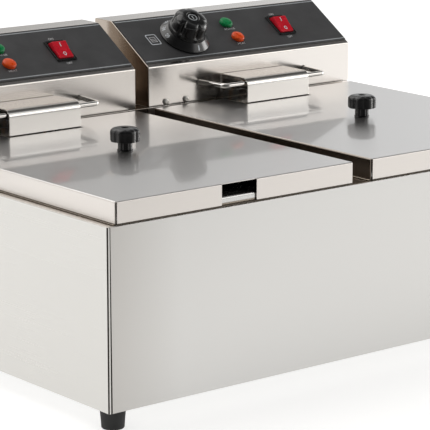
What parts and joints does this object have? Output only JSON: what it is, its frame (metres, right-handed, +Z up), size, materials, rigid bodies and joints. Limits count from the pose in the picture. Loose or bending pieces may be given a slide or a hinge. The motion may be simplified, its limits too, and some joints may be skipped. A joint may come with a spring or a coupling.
{
  "type": "countertop double deep fryer",
  "caption": "Countertop double deep fryer: steel casing, lift-out tanks with lids and baskets, and control heads with dial, lamps and rocker switch.",
  "frame": {"origin": "centre of the footprint, on the plane the feet stand on", "axes": "+Z up, +X to the right seen from the front, front towards -Y"},
  "size_m": [0.56, 0.415, 0.2883],
  "materials": {
    "casing_steel": "satin brushed sheet steel, lightly warm",
    "base_sheet": "plain mill-finish sheet, unseen",
    "tank_steel": "drawn tank steel, semi-bright",
    "lid_steel": "semi-mirror polished sheet",
    "polished_wire": "polished wire and screws",
    "element_sheath": "dull heat-tinted sheath",
    "bulb_copper": "bare copper capillary",
    "panel_black": "matte charcoal film",
    "control_black": "semi-gloss moulded black",
    "lid_knob_black": "semi-gloss moulded black",
    "foot_rubber": "matte black rubber",
    "lamp_green": "translucent green lens",
    "lamp_orange": "translucent orange lens",
    "rocker_red": "translucent red rocker",
    "reset_red": "matte red plunger",
    "grip_black": "matte black grip"
  },
  "bodies": {
    "casing": {"front_panel": "casing_steel", "rear_panel": "casing_steel", "side_panel_left": "casing_steel", "side_panel_right": "casing_steel", "deck": "casing_steel", "rear_rail": "casing_steel", "bottom_plate": "base_sheet", "foot_front_left": "foot_rubber", "foot_front_right": "foot_rubber", "foot_rear_left": "foot_rubber", "foot_rear_right": "foot_rubber"},
    "tank_left": {"tank_left": "tank_steel"},
    "head_left": {"head_shell_left": "casing_steel", "head_base_left": "base_sheet", "head_back_cover_left": "casing_steel", "cable_gland_left": "control_black", "wall_screw_1_left": "polished_wire", "wall_screw_2_left": "polished_wire", "element_guard_left": "casing_steel", "basket_hanger_left": "polished_wire", "heating_element_left": "element_sheath", "thermostat_bulb_left": "bulb_copper", "control_panel_left": "panel_black", "thermostat_body_left": "base_sheet", "power_lamp_left": "lamp_green", "heat_lamp_left": "lamp_orange", "switch_body_left": "control_black"},
    "lid_left": {"lid_left": "lid_steel", "lid_knob_left": "lid_knob_black", "lid_knob_screw_left": "polished_wire"},
    "basket_left": {"basket_left": "polished_wire", "basket_handle_left": "grip_black"},
    "dial_left": {"thermostat_knob_left": "control_black"},
    "rocker_left": {"switch_rocker_left": "rocker_red"},
    "reset_left": {"reset_button_left": "reset_red"},
    "tank_right": {"tank_right": "tank_steel"},
    "head_right": {"head_shell_right": "casing_steel", "head_base_right": "base_sheet", "head_back_cover_right": "casing_steel", "cable_gland_right": "control_black", "wall_screw_1_right": "polished_wire", "wall_screw_2_right": "polished_wire", "element_guard_right": "casing_steel", "basket_hanger_right": "polished_wire", "heating_element_right": "element_sheath", "thermostat_bulb_right": "bulb_copper", "control_panel_right": "panel_black", "thermostat_body_right": "base_sheet", "power_lamp_right": "lamp_green", "heat_lamp_right": "lamp_orange", "switch_body_right": "control_black"},
    "lid_right": {"lid_right": "lid_steel", "lid_knob_right": "lid_knob_black", "lid_knob_screw_right": "polished_wire"},
    "basket_right": {"basket_right": "polished_wire", "basket_handle_right": "grip_black"},
    "dial_right": {"thermostat_knob_right": "control_black"},
    "rocker_right": {"switch_rocker_right": "rocker_red"},
    "reset_right": {"reset_button_right": "reset_red"}
  },
  "joints": [
    {"name": "tank_lift_left", "type": "slide", "parent": "casing", "child": "tank_left", "axis": [0, 0, 1], "range_m": [0, 0.16]},
    {"name": "head_lift_left", "type": "slide", "parent": "tank_left", "child": "head_left", "axis": [0, 0, 1], "range_m": [0, 0.16]},
    {"name": "lid_lift_left", "type": "slide", "parent": "head_left", "child": "lid_left", "axis": [0, -0.9135, 0.4067], "range_m": [0, 0.4]},
    {"name": "basket_lift_left", "type": "slide", "parent": "head_left", "child": "basket_left", "axis": [0, 0, 1], "range_m": [0, 0.155]},
    {"name": "thermostat_turn_left", "type": "hinge", "parent": "head_left", "child": "dial_left", "pos_m": [-0.2031, 0.14869, 0.25537], "axis": [0, -0.5339, 0.8456], "range_deg": [-270, 0]},
    {"name": "switch_rock_left", "type": "hinge", "parent": "head_left", "child": "rocker_left", "pos_m": [-0.0754, 0.14943, 0.25643], "axis": [1, 0, 0], "range_deg": [-11, 0]},
    {"name": "reset_press_left", "type": "slide", "parent": "head_left", "child": "reset_left", "axis": [0, -1, 0], "range_m": [0, 0.003], "stiffness_N_per_m": 300, "springref_m": -0.003},
    {"name": "tank_lift_right", "type": "slide", "parent": "casing", "child": "tank_right", "axis": [0, 0, 1], "range_m": [0, 0.16]},
    {"name": "head_lift_right", "type": "slide", "parent": "tank_right", "child": "head_right", "axis": [0, 0, 1], "range_m": [0, 0.16]},
    {"name": "lid_lift_right", "type": "slide", "parent": "head_right", "child": "lid_right", "axis": [0, -0.9135, 0.4067], "range_m": [0, 0.4]},
    {"name": "basket_lift_right", "type": "slide", "parent": "head_right", "child": "basket_right", "axis": [0, 0, 1], "range_m": [0, 0.155]},
    {"name": "thermostat_turn_right", "type": "hinge", "parent": "head_right", "child": "dial_right", "pos_m": [0.0757, 0.14869, 0.25537], "axis": [0, -0.5339, 0.8456], "range_deg": [-270, 0]},
    {"name": "switch_rock_right", "type": "hinge", "parent": "head_right", "child": "rocker_right", "pos_m": [0.2034, 0.14943, 0.25643], "axis": [1, 0, 0], "range_deg": [-11, 0]},
    {"name": "reset_press_right", "type": "slide", "parent": "head_right", "child": "reset_right", "axis": [0, -1, 0], "range_m": [0, 0.003], "stiffness_N_per_m": 300, "springref_m": -0.003}
  ],
  "couplings": [
    {"joint": "basket_lift_left", "follows": "lid_lift_left", "ratio": 0.3875},
    {"joint": "basket_lift_right", "follows": "lid_lift_right", "ratio": 0.3875}
  ]
}
